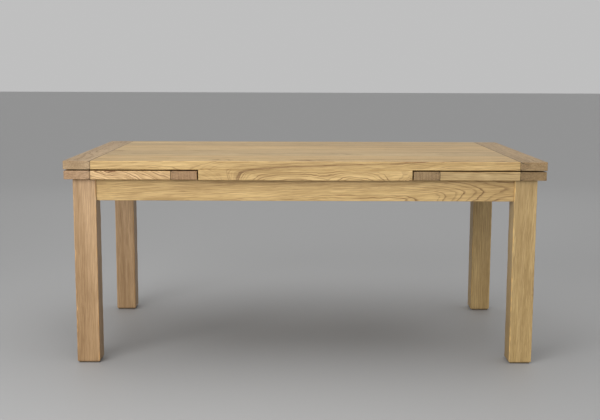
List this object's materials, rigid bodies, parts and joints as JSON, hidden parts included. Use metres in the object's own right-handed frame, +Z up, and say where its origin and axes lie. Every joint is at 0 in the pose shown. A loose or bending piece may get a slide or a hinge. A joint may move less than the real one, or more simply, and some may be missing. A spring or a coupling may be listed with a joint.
{
  "type": "extendable dining table",
  "caption": "Oak draw-leaf dining table with a loose main top over two sliding leaves, square legs, plain aprons and breadboard ends.",
  "frame": {"origin": "on the floor, under the middle of the closed table", "axes": "+X along the table's length, -Y towards the front long side, +Z up"},
  "size_m": [1.8, 1, 0.78],
  "materials": {
    "oak": "oiled, satin",
    "plain_hardwood": "sanded, unfinished",
    "zinc_steel": "zinc plated",
    "pad_felt": "dark felt"
  },
  "bodies": {
    "frame": {"leg_front_left": "oak", "leg_front_right": "oak", "leg_back_right": "oak", "leg_back_left": "oak", "corner_brace_front_left": "plain_hardwood", "corner_brace_front_right": "plain_hardwood", "corner_brace_back_right": "plain_hardwood", "corner_brace_back_left": "plain_hardwood", "apron_front": "oak", "apron_back": "oak", "apron_left": "oak", "apron_right": "oak", "cross_rail_left": "plain_hardwood", "cross_rail_right": "plain_hardwood", "centre_board": "plain_hardwood", "leg_bolts": "zinc_steel", "leg_washers": "zinc_steel", "leg_nuts": "zinc_steel", "brace_screws": "zinc_steel", "apron_dowels": "plain_hardwood", "centre_board_screws": "zinc_steel", "foot_pads": "pad_felt"},
    "main_top": {"top_board_1": "oak", "top_board_2": "oak", "top_board_3": "oak", "top_board_4": "oak", "top_board_5": "oak", "top_board_6": "oak", "top_board_7": "oak", "top_board_8": "oak", "top_end_left": "oak", "top_end_right": "oak", "lip_front": "oak", "lip_back": "oak", "guide_pegs": "plain_hardwood", "peg_keepers": "zinc_steel", "peg_screws": "zinc_steel", "top_felts": "pad_felt"},
    "left_leaf": {"left_leaf_boards": "oak", "left_leaf_inner_end": "oak", "left_leaf_outer_end": "oak", "left_bearer_a": "plain_hardwood", "left_bearer_b": "plain_hardwood", "left_stop_blocks": "plain_hardwood", "left_bearer_screws": "zinc_steel"},
    "right_leaf": {"right_leaf_boards": "oak", "right_leaf_inner_end": "oak", "right_leaf_outer_end": "oak", "right_bearer_a": "plain_hardwood", "right_bearer_b": "plain_hardwood", "right_stop_blocks": "plain_hardwood", "right_bearer_screws": "zinc_steel"}
  },
  "joints": [
    {"name": "left_leaf_slide", "type": "slide", "parent": "frame", "child": "left_leaf", "axis": [-1, 0, 0], "range_m": [0, 0.5]},
    {"name": "right_leaf_slide", "type": "slide", "parent": "frame", "child": "right_leaf", "axis": [1, 0, 0], "range_m": [0, 0.5]},
    {"name": "top_lift", "type": "slide", "parent": "frame", "child": "main_top", "axis": [0, 0, 1], "range_m": [0, 0.04]}
  ]
}
